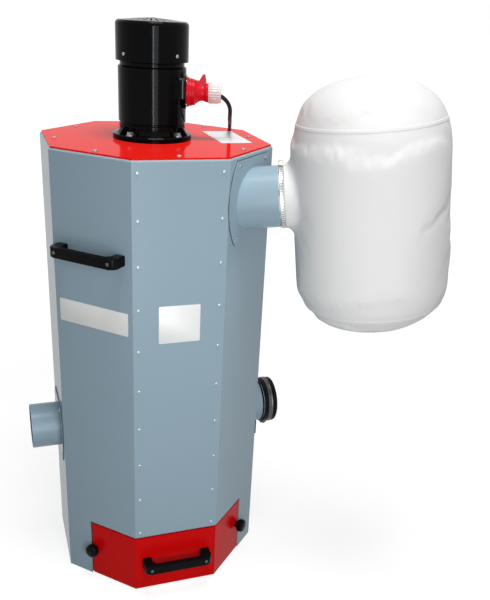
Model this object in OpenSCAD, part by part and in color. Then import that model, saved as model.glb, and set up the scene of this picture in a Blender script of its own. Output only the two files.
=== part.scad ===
// Free-standing metal dust extractor: an octagonal sheet-steel cabinet with a wrap-round
// dust drawer, two duct inlets, a duct outlet with its filter bag, and a flange motor on the lid.
// Origin: centre of the cabinet's base, front towards -Y, up +Z. Millimetres.

/* [Cabinet] */
// Width of the octagonal cabinet across its flats
across_flats = 560; // [540:5:600]
// Height of the sheet-metal walls
wall_height = 1221; // [1180:1:1300]
// Thickness of the wall sheet
sheet = 2; // [1.5:0.5:2.5]
// Outer radius of the bend along the top of the walls
bend_radius = 5; // [4:0.5:7]
// Width of the flange folded in at the top of the walls
top_flange = 24; // [20:1:32]
// Thickness of the lid
lid_thickness = 4; // [3:0.5:5]
// How far the lid's edge stays inside the walls
lid_inset = 4; // [3:0.5:6]
// Width of the rails that the front cover is screwed to
rail_width = 28; // [24:1:32]

/* [Dust drawer] */
// Height of the drawer's opening above the floor
opening_height = 184; // [170:1:200]
// Gap between the drawer's front and the walls
drawer_gap = 5; // [5:0.5:7]
// How far each wing reaches past the middle of its chamfer face
wing_reach = 31; // [28:1:36]
// Half the width of the dust tray
tray_half_width = 185; // [170:1:188]
// How far back the dust tray reaches
tray_back = 150; // [120:5:180]
// Height of the dust tray's walls
tray_height = 120; // [100:1:130]

/* [Knobs and handles] */
// Diameter of a clamping knob
knob_diameter = 38; // [34:1:42]
// Height of the knobs above the floor
knob_height = 96; // [85:1:105]
// Distance of a knob from the middle of its chamfer face
knob_offset = 22; // [20:0.5:23]
// Overall length of a bridge handle
handle_length = 192; // [170:1:200]
// Distance of the grip's outer side from the sheet
handle_reach = 46; // [40:1:52]
// Width of the handle's bar
handle_width = 26; // [22:1:30]
// Height of the carrying handles above the floor
carry_height = 985; // [940:1:1020]

/* [Ducts] */
// Outer radius of the outlet pipe
outlet_radius = 76; // [70:1:80]
// Height of the outlet's axis above the floor
outlet_height = 1109; // [1095:1:1115]
// How far the outlet pipe is turned from its face towards +X
outlet_turn = 24; // [20:1:28]
// Upward slope of the outlet pipe
outlet_rise = 7; // [4:1:9]
// Length of the outlet pipe along its axis
outlet_length = 108; // [104:1:116]
// Outer radius of the inlet pipes
inlet_radius = 62.5; // [55:0.5:65]
// Height of the inlets' axes above the floor
inlet_height = 417; // [380:1:460]
// Length of the inlet pipes from the cabinet
inlet_length = 80; // [70:1:100]
// Wall of the duct pipes
pipe_wall = 2; // [1.5:0.5:2.5]
// Thickness of the duct flanges
flange_thickness = 3; // [2:0.5:4]

/* [Filter bag] */
// Radius of the inflated bag
bag_radius = 198; // [185:1:205]
// Height of the inflated bag
bag_height = 612; // [580:1:640]
// Height of the bag's rounded top
bag_top = 190; // [150:5:200]
// Height of the bag's rounded foot
bag_foot = 120; // [90:5:160]
// Distance of the bag's middle from the cabinet, along the outlet's axis
bag_distance = 299; // [292:1:310]
// How far the bag's middle hangs below the outlet's axis
bag_drop = 35; // [25:1:45]
// Thickness of the bag's cloth
cloth = 2; // [1.5:0.5:3]

/* [Motor] */
// Offset of the motor's axis from the cabinet's middle, along X
motor_x = -8; // [-12:1:0]
// Radius of the motor's frame
frame_radius = 85; // [82:1:88]
// Radius of the mounting flange
motor_flange_radius = 100; // [98:1:104]
// Turn of the flange's bolts from the diagonals
bolt_turn = -8; // [-12:1:0]
// Length of the drive-end shield, flange and all
shield_height = 41; // [39:1:46]
// Length of the motor's frame
frame_height = 134; // [126:1:140]
// Clearance between the frame and the fan cowl
cowl_gap = 11; // [9:1:13]
// Outer radius of the fan cowl
cowl_radius = 90; // [88:1:92]
// Length of the fan cowl
cowl_height = 99; // [92:1:104]
// Number of slots in the cowl's grille
cowl_slots = 24; // [16:2:32]
// Number of blades on the cooling fan
fan_blades = 9; // [6:1:12]

/* [Supply connection] */
// Direction of the appliance inlet from the motor's axis, turned from +X towards +Y
supply_angle = -18; // [-20:1:-14]
// Height of the appliance inlet's axis above the floor
supply_height = 1341; // [1338:1:1344]
// Diameter of the supply lead
lead_diameter = 10.5; // [10:0.25:10.5]

/* [Hidden] */

$fn = 96;
half = across_flats / 2;
diag = sqrt(0.5);
face_width = across_flats * (sqrt(2) - 1);
lid_top = wall_height + lid_thickness;

grey = [0.50, 0.57, 0.61];
signal_red = [0.86, 0.09, 0.08];
drawer_red = [0.72, 0.02, 0.02];
gloss_black = [0.03, 0.03, 0.035];
plug_red = [0.78, 0.05, 0.09];
zinc = [0.72, 0.73, 0.74];
white_cloth = [0.95, 0.95, 0.94];

// the drawer front's floor clearance, and where its parts sit in depth behind the faces
front_bottom = 5;
front_top = opening_height - drawer_gap;
lip_bottom = 7;
lip_depth = 16;
tray_floor = lip_bottom + sheet;
jamb_depth = 10;
jamb_outer = 60;
jamb_inner = 1;
flange_squeeze = 49;
sleeve_start = 69;

// outward distances along the supply connection, counted from the motor's axis
box_face = 84;
box_depth = 28;
box_lid = 3;
box_rise = 11;
coupling_start = 100;
gland_start = 141;
gland_floor = 145;
gland_seat = 146;
gland_end = 173;

// Route of the supply lead from the gland's seat: out of its mouth, back over the cabinet's edge,
// down behind it past the handle, and along the floor to its coil
lead_route = [
    [motor_x + gland_seat * cos(supply_angle), gland_seat * sin(supply_angle), supply_height],
    [143.7, -47.7, 1338.6], [155.5, -48.9, 1334.6], [166, -48.4, 1328.6], [174.9, -46.3, 1320.6],
    [181.9, -42.3, 1311.3], [187.4, -35.9, 1299.8], [191.2, -24.8, 1285.3], [195.8, -9.8, 1273.6],
    [201.6, 7.5, 1266.8], [207.6, 26, 1262.2], [216.6, 53.8, 1255.3], [230.7, 97.2, 1244.5],
    [240.7, 128.4, 1235.4], [247, 148.6, 1229.8], [252.2, 164.3, 1223.5], [256.7, 176.8, 1213.7],
    [259.7, 185.9, 1200], [261.6, 191.2, 1183], [262.6, 194.5, 1163], [264.2, 204.3, 1130],
    [265.5, 209.5, 1065], [267.4, 215.8, 1000], [270, 224, 920], [271.5, 230, 820], [272.5, 236, 700],
    [273, 242, 540], [274, 251, 370], [276.5, 264, 240], [279, 277, 150], [280.8, 285.4, 100],
    [282, 290, 66], [283.3, 294.6, 45.5], [286, 304.6, 28], [289.6, 319.5, 15.4], [293.4, 337, 8.4],
    [296.7, 356, 5.6], [299.3, 379, 5.3], [300.3, 405, 5.3], [300.5, 431, 5.3]
];
coil_radius = 62.8;
coil_centre = [232.4, 431];
plug_gap = 62;

// Turns a child drawn on the front face (outside towards -Y) onto face k, counted
// anticlockwise from above: 0 front, 1 right front, 2 right, 3 back right, 4 back, -1 left front ...
module on_face(k) {
    rotate([0, 0, 45 * k]) children();
}

// A child drawn in the XY plane stands on face k, its Y up and its Z outwards,
// with its origin at distance t along the face and height z.
module standing_on(k, t, z) {
    on_face(k) translate([t, -half, z]) rotate([90, 0, 0]) children();
}

// One eighth of the plan, which mitres a wall against its neighbours
module sector() {
    reach = half + 10;
    spread = reach * tan(22.5);
    translate([0, 0, -1])
        linear_extrude(height = wall_height + 2)
            polygon([[0, 0], [-spread, -reach], [spread, -reach]]);
}

// Cross-section of a wall: the sheet, its bend and the flange folded in under the lid
module wall_section(bottom) {
    straight = wall_height - bend_radius - bottom;
    translate([-half, bottom]) square([sheet, straight]);
    translate([-half + bend_radius, wall_height - sheet]) square([top_flange - bend_radius, sheet]);
    translate([-half + bend_radius, wall_height - bend_radius])
        intersection() {
            difference() {
                circle(r = bend_radius, $fn = 48);
                circle(r = bend_radius - sheet, $fn = 48);
            }
            translate([-bend_radius, 0]) square([bend_radius, bend_radius]);
        }
}

// A folded wall on face k
module wall(k, bottom) {
    on_face(k) intersection() {
        rotate([90, 0, 90])
            linear_extrude(height = face_width + 20, center = true) wall_section(bottom);
        sector();
    }
}

// Point at distance t along the left-front chamfer face, at a depth behind it
function wing_point(side, t, depth) =
    [side * diag * (half - depth + t), -diag * (half - depth - t)];

// Corner between the front and a chamfer face at a depth behind them
function front_corner(side, depth) = [side * (half - depth) * tan(22.5), -(half - depth)];

// Strip that follows the three front faces between two depths, its ends at reach t
module chevron(near, far, t) {
    polygon([
        wing_point(-1, t, near), front_corner(-1, near), front_corner(1, near), wing_point(1, t, near),
        wing_point(1, t, far), front_corner(1, far), front_corner(-1, far), wing_point(-1, t, far)
    ]);
}

// Regular octagon whose flats lie at a distance from the centre
module octagon(flat) {
    rotate([0, 0, 22.5]) circle(r = flat / cos(22.5), $fn = 8);
}

module base_plate() {
    color(grey) difference() {
        linear_extrude(height = sheet) octagon(half - sheet);
        translate([0, 0, -1])
            linear_extrude(height = sheet + 2) chevron(-5, sheet + drawer_gap + 1, wing_reach + drawer_gap + 2);
    }
}

module front_cover() {
    color(grey) wall(0, opening_height);
}

// Cut through a chamfer wall for one wing of the drawer
module wing_cut(side) {
    inner = wing_reach + drawer_gap;
    on_face(side)
        translate([side > 0 ? -face_width : -inner, -half - 5, -1])
            cube([face_width + inner, 60, opening_height + 1]);
}

module left_front_wall() {
    color(grey) difference() {
        wall(-1, 0);
        wing_cut(-1);
    }
}

module right_front_wall() {
    color(grey) difference() {
        wall(1, 0);
        wing_cut(1);
        at_outlet() duct_hole(outlet_radius);
    }
}

// Child drawn with +Z along the outlet's axis, from the middle of its face, its Y up
module at_outlet() {
    standing_on(1, 0, outlet_height) rotate([0, outlet_turn, 0]) rotate([-outlet_rise, 0, 0]) children();
}

// Hole through a wall or a flange behind a duct pipe
module duct_hole(radius) {
    translate([0, 0, -50]) cylinder(r = radius - pipe_wall, h = 100);
}

module left_wall() {
    color(grey) difference() {
        wall(-2, 0);
        standing_on(-2, 0, inlet_height) duct_hole(inlet_radius);
    }
}

module right_wall() {
    color(grey) difference() {
        wall(2, 0);
        standing_on(2, 0, inlet_height) duct_hole(inlet_radius);
    }
}

module back_left_wall() {
    color(grey) wall(-3, 0);
}

module back_right_wall() {
    color(grey) wall(3, 0);
}

module back_wall() {
    color(grey) wall(4, 0);
}

// Two upright strips behind the front cover's edges, which take its screws
module cover_rails() {
    edge = front_corner(1, sheet)[0];
    rail_bottom = opening_height + sheet;
    color(grey) for (side = [-1, 1])
        translate([side > 0 ? edge - rail_width : -edge, -half + sheet, rail_bottom])
            cube([rail_width, sheet, wall_height - bend_radius - rail_bottom]);
}

// Lip folded in over the drawer's opening
module drawer_header() {
    color(grey)
        translate([0, 0, opening_height])
            linear_extrude(height = sheet) chevron(sheet, 22, wing_reach + drawer_gap);
}

// Upright behind the edge of the opening, which a knob pulls the drawer's wing against
module jamb(side) {
    profile = [
        [jamb_outer, sheet], [jamb_outer, jamb_depth + sheet], [jamb_inner, jamb_depth + sheet],
        [jamb_inner, jamb_depth], [jamb_outer - sheet, jamb_depth], [jamb_outer - sheet, sheet]
    ];
    color(grey)
        translate([0, 0, sheet])
            linear_extrude(height = opening_height - sheet)
                polygon([for (p = profile) wing_point(side, p[0], p[1])]);
}

module left_jamb() {
    jamb(-1);
}

module right_jamb() {
    jamb(1);
}

module lid() {
    color(signal_red)
        translate([0, 0, wall_height]) linear_extrude(height = lid_thickness) octagon(half - lid_inset);
}

// Folded front of the drawer: three faces in one sheet, with a lip along its top and foot
module drawer_front() {
    lip_end = -7;
    color(drawer_red) difference() {
        union() {
            translate([0, 0, front_bottom])
                linear_extrude(height = front_top - front_bottom) chevron(0, sheet, wing_reach);
            translate([0, 0, front_top - sheet])
                linear_extrude(height = sheet) chevron(0, lip_depth, lip_end);
            translate([0, 0, lip_bottom])
                linear_extrude(height = sheet) chevron(0, 2 * lip_depth, lip_end);
        }
        for (side = [-1, 1])
            standing_on(side, side * knob_offset, knob_height)
                translate([0, 0, -10]) cylinder(r = 4.05, h = 20, $fn = 32);
    }
}

// Plan of the dust tray, kept a distance inside its outside faces
module tray_plan(inside) {
    depth = lip_depth + inside;
    side_x = tray_half_width - inside;
    chamfer_y = -(half - depth) / diag + side_x;
    front = front_corner(1, depth);
    polygon([
        [-front[0], front[1]], front, [side_x, chamfer_y], [side_x, tray_back - inside],
        [-side_x, tray_back - inside], [-side_x, chamfer_y]
    ]);
}

module dust_tray() {
    color(grey) translate([0, 0, tray_floor]) difference() {
        linear_extrude(height = tray_height) tray_plan(0);
        translate([0, 0, sheet]) linear_extrude(height = tray_height) tray_plan(sheet);
    }
}

function arc_points(centre, radius, from, to, steps) =
    [for (i = [0 : steps]) let (a = from + (to - from) * i / steps)
        [centre[0] + radius * cos(a), centre[1] + radius * sin(a)]];

// Rounded arch standing on the X axis
module arch(half_width, height, corner) {
    translate([-half_width, -1]) square([2 * half_width, height - corner + 1]);
    translate([corner - half_width, -1]) square([2 * (half_width - corner), height + 1]);
    for (side = [-1, 1]) translate([side * (half_width - corner), height - corner]) circle(r = corner);
}

// A bridge handle lying along face k at a height: one square bar bent to two legs and a grip
module bridge_handle(k, z) {
    leg = 25;
    grip = 14;
    corner = 15;
    color(gloss_black) standing_on(k, 0, z) rotate([90, 0, 0])
        linear_extrude(height = handle_width, center = true) difference() {
            arch(handle_length / 2, handle_reach, corner);
            arch(handle_length / 2 - leg, handle_reach - grip, corner - 5);
            translate([-handle_length, -2]) square([2 * handle_length, 2]);
        }
}

// Rectangle about the origin with its corners cut at 45 degrees
module chamfered(width, height, cut) {
    x = width / 2;
    y = height / 2;
    polygon([
        [x, y - cut], [x - cut, y], [cut - x, y], [-x, y - cut],
        [-x, cut - y], [cut - x, -y], [x - cut, -y], [x, cut - y]
    ]);
}

module drawer_handle() {
    bridge_handle(0, knob_height + 2);
}

module front_carry_handle() {
    bridge_handle(-1, carry_height);
}

module back_carry_handle() {
    bridge_handle(3, carry_height);
}

// Round clamping knob with its stud, drawn along +Z from the drawer's face
module knob() {
    r = knob_diameter / 2;
    color(gloss_black) {
        rotate_extrude($fn = 64)
            polygon(concat(
                [[0, 0.3], [10, 0.3], [11, 6], [r - 2, 8]],
                arc_points([r - 4, 12], 4, -70, 0, 4),
                arc_points([r - 7, 19], 7, 0, 80, 6),
                [[0, 27.5]]
            ));
        translate([0, 0, -5]) cylinder(r = 4, h = 6, $fn = 32);
    }
}

module left_knob() {
    standing_on(-1, -knob_offset, knob_height) knob();
}

module right_knob() {
    standing_on(1, knob_offset, knob_height) knob();
}

// Duct flange's plate, with straight top and foot and bowed sides
module duct_plate(half_height) {
    bow = half_height * 166 / 102;
    shift = half_height * flange_squeeze / 102;
    linear_extrude(height = flange_thickness) intersection() {
        square([3 * half_height, 2 * half_height], center = true);
        translate([shift, 0]) circle(r = bow);
        translate([-shift, 0]) circle(r = bow);
    }
}

module outlet_flange() {
    color(grey) difference() {
        standing_on(1, 0, outlet_height) duct_plate(102);
        at_outlet() duct_hole(outlet_radius);
    }
}

// Outlet pipe, cut slantwise at its foot to sit on the flange
module outlet_pipe() {
    reach = 2 * outlet_radius;
    color(grey) difference() {
        at_outlet() translate([0, 0, -reach]) cylinder(r = outlet_radius, h = outlet_length + reach);
        at_outlet() translate([0, 0, -reach - 1])
            cylinder(r = outlet_radius - pipe_wall, h = outlet_length + reach + 2);
        standing_on(1, 0, outlet_height) translate([-reach, -reach, flange_thickness - 2 * reach])
            cube(2 * reach);
    }
}

// Inlet flange on face k
module inlet_flange(k) {
    color(grey) standing_on(k, 0, inlet_height) difference() {
        duct_plate(84);
        duct_hole(inlet_radius);
    }
}

// Inlet pipe standing on its flange on face k
module inlet_pipe(k) {
    color(grey) standing_on(k, 0, inlet_height) translate([0, 0, flange_thickness]) difference() {
        cylinder(r = inlet_radius, h = inlet_length - flange_thickness);
        translate([0, 0, -1]) cylinder(r = inlet_radius - pipe_wall, h = inlet_length);
    }
}

module left_inlet_flange() {
    inlet_flange(-2);
}

module left_inlet_pipe() {
    inlet_pipe(-2);
}

module right_inlet_flange() {
    inlet_flange(2);
}

module right_inlet_pipe() {
    inlet_pipe(2);
}

// Moulded rubber cap pushed over the spare inlet
module inlet_cap() {
    inside = inlet_radius + 0.3;
    outside = inlet_radius + 6;
    start = inlet_length - 30;
    top = inlet_length + 10;
    color(gloss_black) standing_on(2, 0, inlet_height) rotate_extrude()
        polygon(concat(
            [[0, inlet_length + 0.3], [inside, inlet_length + 0.3], [inside, start], [outside - 1, start],
             [outside, start + 1]],
            arc_points([outside - 6, top - 6], 6, 0, 90, 6),
            [[0, top]]
        ));
}

// Buckle of the band round the cap, hanging under it
module cap_buckle() {
    cap = inlet_radius + 6;
    color(gloss_black) standing_on(2, 0, inlet_height) difference() {
        translate([-9, -cap - 13.5, inlet_length - 20]) cube([18, 16, 22]);
        translate([0, 0, inlet_length - 30]) cylinder(r = cap, h = 60);
    }
}

// Tie round the spare inlet's pipe, its loose tail hanging down
module cap_tie() {
    inside = inlet_radius + 0.3;
    color(gloss_black) standing_on(2, 0, inlet_height) translate([0, 0, inlet_length - 37]) {
        difference() {
            cylinder(r = inside + 2.2, h = 4.5);
            translate([0, 0, -1]) cylinder(r = inside, h = 7);
        }
        translate([-0.8, -inside - 60, 0]) cube([1.6, 59, 4.5]);
    }
}

// Band clamp that holds the bag's sleeve on the outlet, its worm screw on top
module bag_clamp() {
    inside = outlet_radius + 0.3 + cloth + 0.2;
    color(zinc) at_outlet() translate([0, 0, sleeve_start + 5]) {
        difference() {
            cylinder(r = inside + 1.5, h = 12);
            translate([0, 0, -1]) cylinder(r = inside, h = 14);
        }
        translate([-14, inside + 1, 0]) cube([28, 12, 12]);
    }
}

// One end of the bag's outline in radius and height, its corner rounded over a height
function bag_end(inset, rounding) =
    let (
        r = bag_radius - inset,
        tip = bag_height / 2 - inset,
        cap = rounding - inset,
        power = 2 / 2.7
    )
    [for (i = [0 : 14]) let (a = 90 - 90 * i / 14)
        [r * pow(cos(a), power), tip - cap + cap * pow(sin(a), power)]];

// Half of the bag's outline, from its tip to its foot, shrunk by an inset
function bag_outline(inset) =
    let (
        upper = bag_end(inset, bag_top),
        lower = bag_end(inset, bag_foot)
    )
    concat(upper, [for (i = [14 : -1 : 0]) [lower[i][0], -lower[i][1]]]);

// Inflated cloth bag with the sleeve that goes over the outlet pipe
module filter_bag() {
    sleeve = outlet_radius + 0.3;
    reach = bag_distance - sleeve_start;
    color(white_cloth) at_outlet() difference() {
        union() {
            bag_hull(0);
            translate([0, 0, sleeve_start]) cylinder(r = sleeve + cloth, h = reach - 100);
        }
        bag_hull(cloth);
        translate([0, 0, sleeve_start - 1]) cylinder(r = sleeve, h = reach);
    }
}

// The bag's body, square to the outlet's axis
module bag_hull(inset) {
    translate([0, -bag_drop, bag_distance]) rotate([-90, 0, 0])
        rotate_extrude($fn = 72) polygon(bag_outline(inset));
}

// Child placed on the motor's axis, at a height above the lid
module on_motor(z) {
    translate([motor_x, 0, lid_top + z]) children();
}

// Drive-end shield: round flange, waisted drum, and a ribbed pocket over each of the flange's bolts
module motor_shield() {
    plate = 13;
    pitch = 82.5;
    top = shield_height;
    color(gloss_black) on_motor(0) rotate([0, 0, bolt_turn]) difference() {
        union() {
            rotate_extrude()
                polygon([
                    [0, 0], [motor_flange_radius, 0], [motor_flange_radius, plate - 2],
                    [motor_flange_radius - 2, plate], [93, plate], [88, plate + 3], [84.5, plate + 8],
                    [83, plate + 14], [83, top - 4], [80, top - 3], [80, top], [0, top]
                ]);
            for (a = [45 : 90 : 315]) for (side = [-1, 1])
                rotate([90, 0, a + side * 15]) translate([0, 0, -2]) linear_extrude(height = 4)
                    polygon([[78, plate - 1], [97, plate - 1], [97, plate + 1], [83.5, top - 8], [78, top - 8]]);
        }
        for (a = [45 : 90 : 315])
            rotate([0, 0, a]) translate([pitch, 0, plate - 1]) cylinder(r = 16.5, h = top - plate - 7, $fn = 48);
    }
}

// Rolled frame of the motor, cut away where the terminal box and its lid sit
module motor_frame() {
    color(gloss_black) difference() {
        on_motor(shield_height) rotate_extrude()
            polygon([
                [0, 0], [frame_radius - 2, 0], [frame_radius, 2], [frame_radius, frame_height - 3],
                [frame_radius - 3, frame_height], [0, frame_height]
            ]);
        terminal_block();
        terminal_plate();
    }
}

// Fan-end shield with the collar that carries the cowl and the shaft end that carries the fan
module motor_end_shield() {
    collar = cowl_radius - 2.3;
    color(gloss_black) on_motor(shield_height + frame_height) rotate_extrude()
        polygon([
            [0, 0], [frame_radius - 5, 0], [frame_radius - 5, cowl_gap - 3], [collar, cowl_gap + 1],
            [collar, cowl_gap + 11], [70, cowl_gap + 15], [40, 30], [20, 32], [12, 34], [12, 66], [0, 66]
        ]);
}

// Moulded cooling fan: a hub, a disc and radial blades
module cooling_fan() {
    blade = 22;
    color(gloss_black) on_motor(shield_height + frame_height + 40) difference() {
        union() {
            cylinder(r = 24, h = 26);
            cylinder(r = 76, h = 3);
            for (i = [0 : fan_blades - 1])
                rotate([0, 0, i * 360 / fan_blades]) translate([20, -1.5, 2]) cube([54, 3, blade]);
        }
        translate([0, 0, -1]) cylinder(r = 12.1, h = 28, $fn = 48);
    }
}

// Pressed fan cowl: a drum with a low dome and a grille of radial slots
module fan_cowl() {
    wall_t = 2;
    edge = 10;
    rise = 7;
    top = cowl_height - rise;
    knuckle = [cowl_radius - edge, top - edge];
    outer = concat([[cowl_radius, 0]], arc_points(knuckle, edge, 0, 78, 6), [[0, cowl_height]]);
    inner = concat(
        [[0, cowl_height - wall_t - 0.5]],
        arc_points(knuckle, edge - wall_t, 78, 0, 6),
        [[cowl_radius - wall_t, 0]]
    );
    color(gloss_black) on_motor(shield_height + frame_height + cowl_gap) difference() {
        rotate_extrude() polygon(concat(outer, inner));
        for (i = [0 : cowl_slots - 1])
            rotate([0, 0, i * 360 / cowl_slots]) translate([30, -2, top - 12])
                cube([40, 4, 30]);
    }
}

// Child drawn with +X pointing out of the terminal box, at the appliance inlet's height
module at_terminal_box() {
    translate([motor_x, 0, supply_height]) rotate([0, 0, supply_angle]) children();
}

// Child revolved about the appliance inlet's axis, its profile's second coordinate counted outwards
module supply_turned() {
    at_terminal_box() rotate([0, 90, 0]) rotate_extrude($fn = 64) children();
}

// Solid outline of the terminal box
module terminal_block() {
    at_terminal_box() translate([box_face - box_depth, 0, box_rise]) rotate([90, 0, 90])
        linear_extrude(height = box_depth) chamfered(116, 52, 4);
}

// Plate on the box's face that carries the appliance inlet
module terminal_plate() {
    at_terminal_box() translate([box_face, 0, 0]) rotate([90, 0, 90])
        linear_extrude(height = box_lid) chamfered(78, 76, 10);
}

// Terminal box let into the side of the motor's frame
module terminal_box() {
    color(gloss_black) terminal_block();
}

module terminal_lid() {
    color(gloss_black) terminal_plate();
}

// Red appliance inlet on the terminal box's lid
module appliance_inlet() {
    start = box_face + box_lid;
    color(plug_red) supply_turned()
        polygon([
            [0, start], [35.5, start], [35.5, start + 5], [33, start + 7], [33, coupling_start],
            [0, coupling_start]
        ]);
}

// Coupling pushed on the inlet: locking ring, waisted grip and the spring flap above it
module supply_coupling() {
    start = coupling_start;
    color(plug_red) {
        supply_turned() polygon([
            [0, start], [30.5, start], [31.5, start + 1], [31.5, start + 7], [28, start + 9],
            [26, start + 12], [22, start + 18], [20, start + 24], [20, start + 30], [22.5, start + 35],
            [23, gland_start], [0, gland_start]
        ]);
        at_terminal_box() rotate([90, 0, 0]) translate([0, 0, -9]) linear_extrude(height = 18)
            polygon([
                [start + 8, 22], [start + 8, 29], [start + 17, 28], [start + 26, 43], [start + 31, 44],
                [start + 33, 40], [start + 36, 20], [start + 30, 14]
            ]);
    }
}

// Gland nut with a wide mouth, the lead's end seated on its floor
module cable_gland() {
    color([0.9, 0.88, 0.86]) supply_turned()
        polygon([
            [0, gland_start], [24, gland_start], [25.5, gland_start + 2], [25.5, gland_end - 2],
            [23.5, gland_end], [20, gland_end], [8, gland_floor], [0, gland_floor]
        ]);
}

// A point of the curve through route points i and i+1 at parameter u, rounded by their neighbours
function curve_point(route, i, u) =
    let (
        last = len(route) - 1,
        a = route[max(i - 1, 0)],
        b = route[i],
        c = route[i + 1],
        d = route[min(i + 2, last)]
    )
    0.5 * (2 * b + (c - a) * u + (2 * a - 5 * b + 4 * c - d) * u * u + (3 * b - a - 3 * c + d) * u * u * u);

function smooth_route(route, steps) = concat(
    [for (i = [0 : len(route) - 2]) for (k = [0 : steps - 1]) curve_point(route, i, k / steps)],
    [route[len(route) - 1]]
);

function unit(v) = v / norm(v);

// Ring of points round a centre, square to a direction; the lead never runs along +Y-X, so that steadies it
function ring(centre, direction, radius, sides) =
    let (
        across = unit(cross(direction, [-1, 1, 0.2])),
        along = cross(direction, across)
    )
    [for (k = [0 : sides - 1]) let (a = 360 * k / sides) centre + radius * (cos(a) * across + sin(a) * along)];

// Tube of a radius along a list of points
module tube(path, radius, sides) {
    last = len(path) - 1;
    rings = [for (i = [0 : last])
        ring(path[i], unit(path[min(i + 1, last)] - path[max(i - 1, 0)]), radius, sides)];
    walls = [for (i = [0 : last - 1]) for (k = [0 : sides - 1])
        let (n = (k + 1) % sides)
        [i * sides + k, i * sides + n, (i + 1) * sides + n, (i + 1) * sides + k]];
    first_end = [for (k = [sides - 1 : -1 : 0]) k];
    last_end = [for (k = [0 : sides - 1]) last * sides + k];
    polyhedron(points = [for (r = rings) for (p = r) p], faces = concat([first_end, last_end], walls));
}

module supply_lead() {
    color(gloss_black) tube(smooth_route(lead_route, 3), lead_diameter / 2, 8);
}

// Outer shape of the coiled end of the lead, three turns and a quarter lying on the floor
module lead_coil() {
    inside = coil_radius - lead_diameter;
    outside = coil_radius + lead_diameter;
    top = 2 * lead_diameter;
    cut = lead_diameter / 4;
    color(gloss_black) translate([coil_centre[0], coil_centre[1], 0]) rotate_extrude($fn = 64)
        polygon([
            [inside + cut, 0], [outside - cut, 0], [outside, cut], [outside, top - cut],
            [outside - cut, top], [inside + cut, top], [inside, top - cut], [inside, cut]
        ]);
}

// Plug on the end of the lead, lying on the floor on its collar and its gland
module lead_plug() {
    collar = 30;
    rear = 15.5;
    length = 118;
    rear_edge = 6;
    collar_edge = 80;
    tilt = atan((collar - rear) / (collar_edge - rear_edge));
    color(plug_red)
        translate([
            coil_centre[0] - plug_gap, coil_centre[1] + coil_radius + lead_diameter / 2,
            rear * cos(tilt) - rear_edge * sin(tilt)
        ])
            rotate([0, -90 + tilt, 0]) rotate_extrude($fn = 64)
                polygon([
                    [0, 0], [8, 0], [rear, rear_edge], [rear, 20], [18, 24], [20, 34], [19, 60], [24, 76],
                    [collar, collar_edge], [collar, length], [27, length + 1], [26, length - 4], [0, length - 4]
                ]);
}

base_plate();
front_cover();
left_front_wall();
right_front_wall();
left_wall();
right_wall();
back_left_wall();
back_right_wall();
back_wall();
cover_rails();
drawer_header();
left_jamb();
right_jamb();
lid();
drawer_front();
dust_tray();
drawer_handle();
left_knob();
right_knob();
front_carry_handle();
back_carry_handle();
outlet_flange();
outlet_pipe();
bag_clamp();
filter_bag();
left_inlet_flange();
left_inlet_pipe();
right_inlet_flange();
right_inlet_pipe();
inlet_cap();
cap_buckle();
cap_tie();
motor_shield();
motor_frame();
motor_end_shield();
cooling_fan();
fan_cowl();
terminal_box();
terminal_lid();
appliance_inlet();
supply_coupling();
cable_gland();
supply_lead();
lead_coil();
lead_plug();
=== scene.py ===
import math

import bmesh
import bpy
from mathutils import Matrix, Vector
from mathutils.bvhtree import BVHTree


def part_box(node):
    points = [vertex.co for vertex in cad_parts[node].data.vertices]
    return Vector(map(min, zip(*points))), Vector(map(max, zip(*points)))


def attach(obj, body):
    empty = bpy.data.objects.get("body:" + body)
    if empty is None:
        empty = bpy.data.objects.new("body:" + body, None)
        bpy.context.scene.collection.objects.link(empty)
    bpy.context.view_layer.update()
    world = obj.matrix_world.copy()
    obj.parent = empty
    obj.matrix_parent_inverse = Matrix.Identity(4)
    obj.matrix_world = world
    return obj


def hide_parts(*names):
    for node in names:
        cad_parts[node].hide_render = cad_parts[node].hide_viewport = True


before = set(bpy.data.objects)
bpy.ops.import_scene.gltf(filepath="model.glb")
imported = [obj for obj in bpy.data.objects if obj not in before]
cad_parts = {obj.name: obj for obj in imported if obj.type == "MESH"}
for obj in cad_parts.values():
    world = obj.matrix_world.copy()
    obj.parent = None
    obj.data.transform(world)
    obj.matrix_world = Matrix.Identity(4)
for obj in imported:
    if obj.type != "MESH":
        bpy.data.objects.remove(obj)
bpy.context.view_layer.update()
MM = 0.001
QUARTER_X = Matrix.Rotation(math.pi / 2, 4, "X")
QUARTER_Y = Matrix.Rotation(math.pi / 2, 4, "Y")

# ---------------------------------------------------------------------------
# Camera and studio. A fixed lens looks down on the cabinet's left front corner.
# A white floor runs out behind it, under a broad lamp in front, one above and a soft sky. A narrow
# strip shows only in gloss.
scene = bpy.context.scene
scene.view_settings.view_transform = "Standard"


def camera_axes(turn, down, roll):
    """Right, up and back of a camera turned left by turn, tipped down and rolled, in degrees."""
    turn, down, roll = (math.radians(a) for a in (turn, down, roll))
    ahead = Vector((-math.sin(turn) * math.cos(down), math.cos(turn) * math.cos(down), -math.sin(down)))
    level = Vector((math.cos(turn), math.sin(turn), 0.0))
    upright = level.cross(ahead)
    right = math.cos(roll) * level + math.sin(roll) * upright
    up = math.cos(roll) * upright - math.sin(roll) * level
    return right, up, -ahead


CAMERA_ANGLES = (-19.75, 24.0, 3.10)
CAMERA_SPOT = Vector((-0.4285, -1.9595, 1.5535))
camera_data = bpy.data.cameras.new("camera")
camera_data.sensor_width = 36.0
camera_data.lens = 45.45
camera_data.shift_y = 0.0667
camera_data.clip_start = 0.05
camera = bpy.data.objects.new("camera", camera_data)
scene.collection.objects.link(camera)
scene.camera = camera
axes = Matrix(camera_axes(*CAMERA_ANGLES)).transposed()
camera.matrix_world = Matrix.Translation(CAMERA_SPOT) @ axes.to_4x4()

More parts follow.
